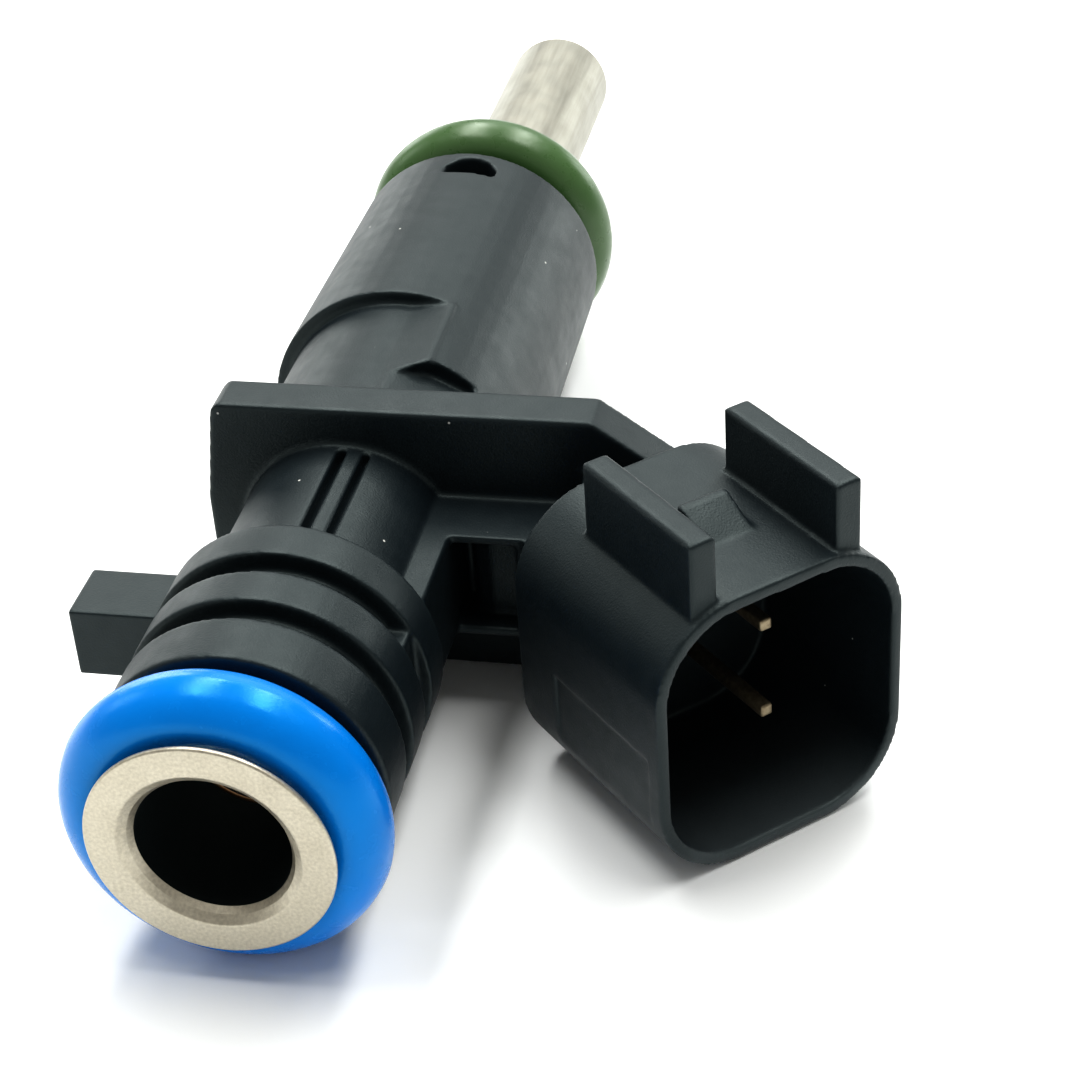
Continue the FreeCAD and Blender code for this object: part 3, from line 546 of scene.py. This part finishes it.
def add_seal(name, node, slot, material):
    """An O-ring with the faint ridge that its mould leaves round its outer edge."""
    low, high = box_mm(node)
    section = (high.y - low.y) / 2
    ring, middle = high.x - section, (high.y + low.y) / 2
    outline = []
    for step in range(SEAL_STEPS):
        angle = math.tau * step / SEAL_STEPS
        ridge = RIDGE_HEIGHT * math.exp(-((math.sin(angle / 2) / RIDGE_SPREAD) ** 2))
        reach = section - RIDGE_HEIGHT + ridge
        outline.append((ring + reach * math.cos(angle), middle + reach * math.sin(angle)))
    return new_piece(name, turned(outline), material, slot, "injector", node)


def ring_outline(inner, outer, front, back, fillet):
    """A plain ring's section with four rounded corners."""
    return rounded([
        (inner, front, fillet), (outer, front, fillet),
        (outer, back, fillet), (inner, back, fillet)])


SLEEVE_RADIUS = 3.97
FILTER_RING_BORE = 3.1


def add_ring(name, node, inner, fillet, slot, material):
    """A turned ring with the outer size of its CAD node."""
    low, high = box_mm(node)
    outline = ring_outline(inner, high.z, low.y, high.y, fillet)
    return new_piece(name, turned(outline), material, slot, "injector", node)


PIN_BEVEL = 0.13


def add_terminal(name, node, material):
    """A square pin with softened edges."""
    work = copied_mm(node)
    add_modifier(work, "BEVEL", width=PIN_BEVEL, segments=2, limit_method="ANGLE")
    return new_piece(name, finished_mesh(work), material, "terminal_gold", "injector", node)


TIP_RADIUS = 3.25
SLEEVE_WALL = 0.5
TIP_LIP = 0.55
TIP_LIP_DEPTH = 0.35
SHOULDER_BEFORE_MOUNT = 9.6
SHOULDER_LENGTH = 0.8


def add_sleeve(material):
    """The long steel sleeve that ends in the nozzle tip."""
    low, high = box_mm("valve_sleeve")
    shoulder = mount_mm("nozzle_tip").y - SHOULDER_BEFORE_MOUNT
    narrow = shoulder + SHOULDER_LENGTH
    inner = TIP_RADIUS - SLEEVE_WALL
    outline = rounded([
        (CORE_BORE, low.y, 0), (high.x, low.y, 0), (high.x, shoulder, 0.35),
        (TIP_RADIUS, narrow, 0.3), (TIP_RADIUS, high.y, 0.42), (inner - TIP_LIP, high.y, 0.08),
        (inner - TIP_LIP, high.y - TIP_LIP_DEPTH, 0), (inner, high.y - TIP_LIP_DEPTH, 0),
        (inner, narrow, 0), (CORE_BORE, shoulder, 0)])
    mesh = turned(outline)
    return new_piece("sleeve", mesh, material, "sleeve_steel", "injector", "valve_sleeve")


def add_spring(material):
    """The closing spring, on a mesh of its own; in the injector the rising needle shortens it from
    its far end.
    """
    mesh = finished_mesh(copied_mm("return_spring"))
    piece = new_piece(
        "closing_spring", mesh, material, "spring_steel", "injector", "return_spring")
    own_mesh(piece)


def add_floor():
    """The table that the injector lies on."""
    mesh = bpy.data.meshes.new("floor")
    form = bmesh.new()
    bmesh.ops.create_circle(form, cap_ends=True, segments=64, radius=FLOOR_RADIUS)
    form.to_mesh(mesh)
    form.free()
    mesh.materials.append(table_top())
    floor = bpy.data.objects.new("floor", mesh)
    floor.location.z = FLOOR_LEVEL
    bpy.context.scene.collection.objects.link(floor)


# ---------------------------------------------------------------- build

add_camera()
add_lights()
add_world()
add_floor()

# the black plastic gets dust specks, and on the socket's lower wall dust with painted light
black = moulded_plastic(
    "black_nylon", (0.003, 0.0065, 0.0095), (0.006, 0.0100, 0.013), 0.47, dusty_and_lit=True)
support = moulded_plastic("support_plastic", (0.010, 0.012, 0.013), (0.016, 0.018, 0.019), 0.45)
# painted shade: a near-black material for the deep steel bore of the inlet
painted_bore_shade = moulded_plastic("painted_bore_shade", (0.002, 0.004, 0.005), (0.004, 0.007, 0.008), 0.55)
flange_steel = grained_steel("inlet_steel", (0.46, 0.42, 0.34), (0.60, 0.555, 0.45), 0.42, 0.16)
sleeve_steel = grained_steel(
    "sleeve_steel", (0.30, 0.29, 0.25), (0.38, 0.37, 0.32), 0.48, 0.3, (1, 0.06, 1))
plain_steel = grained_steel("plain_steel", (0.42, 0.42, 0.42), (0.55, 0.55, 0.55), 0.35)
ground_steel = grained_steel(
    "ground_steel", (0.48, 0.48, 0.49), (0.58, 0.58, 0.59), 0.22, 0.12, (1, 0.1, 1))
bright_steel = grained_steel("bright_steel", (0.70, 0.70, 0.71), (0.78, 0.78, 0.79), 0.10)
gold = grained_steel("terminal_gold", (0.22, 0.175, 0.115), (0.33, 0.28, 0.19), 0.45)
brass = grained_steel("filter_brass", (0.40, 0.22, 0.12), (0.55, 0.34, 0.18), 0.36)
copper = grained_steel("copper_wire", (0.55, 0.24, 0.10), (0.70, 0.34, 0.16), 0.30)
cage_plastic = moulded_plastic("filter_plastic", (0.05, 0.045, 0.04), (0.08, 0.07, 0.06), 0.5)
bobbin_plastic = moulded_plastic("bobbin_plastic", (0.16, 0.12, 0.07), (0.22, 0.17, 0.11), 0.4)
weave = moulded_plastic("filter_mesh", (0.40, 0.37, 0.30), (0.52, 0.49, 0.41), 0.6)
blue = smooth_rubber("blue_rubber", (0.0, 0.165, 0.58), (0.0, 0.215, 0.74), (0.15, 0.75, 1.0), 0.23)
green = smooth_rubber(
    "green_rubber", (0.038, 0.090, 0.026), (0.056, 0.118, 0.038), (0.9, 1.0, 0.85), 0.30)

add_overmould(black)
add_inlet_tube(flange_steel, painted_bore_shade)
add_sleeve(sleeve_steel)
add_seal("upper_seal", "upper_o_ring", "blue_rubber", blue)
add_seal("lower_seal", "lower_o_ring", "green_rubber", green)
add_ring("support_ring", "lower_support_ring", SLEEVE_RADIUS, 0.15, "support_plastic", support)
add_ring("retainer_ring", "lower_retainer_ring", SLEEVE_RADIUS, 0.2, "retainer_steel", plain_steel)
add_ring("filter_ring", "inlet_filter_ring", FILTER_RING_BORE, 0.1, "filter_brass", brass)
add_spring(ground_steel)
add_terminal("upper_pin", "terminal_upper", gold)
add_terminal("lower_pin", "terminal_lower", gold)

CARRIED = {
    "inlet_filter_cage": cage_plastic,
    "inlet_filter_mesh": weave,
    "pole_piece": plain_steel,
    "adjusting_sleeve": ground_steel,
    "armature": plain_steel,
    "needle_tube": ground_steel,
    "valve_ball": bright_steel,
    "guide_disc": plain_steel,
    "valve_seat": ground_steel,
    "orifice_plate": plain_steel,
    "coil_bobbin": bobbin_plastic,
    "coil_winding": copper,
    "solenoid_housing": plain_steel,
    "flux_washer": plain_steel,
}
for node, material in CARRIED.items():
    frame["nodes"][node].data.materials.clear()
    frame["nodes"][node].data.materials.append(material)
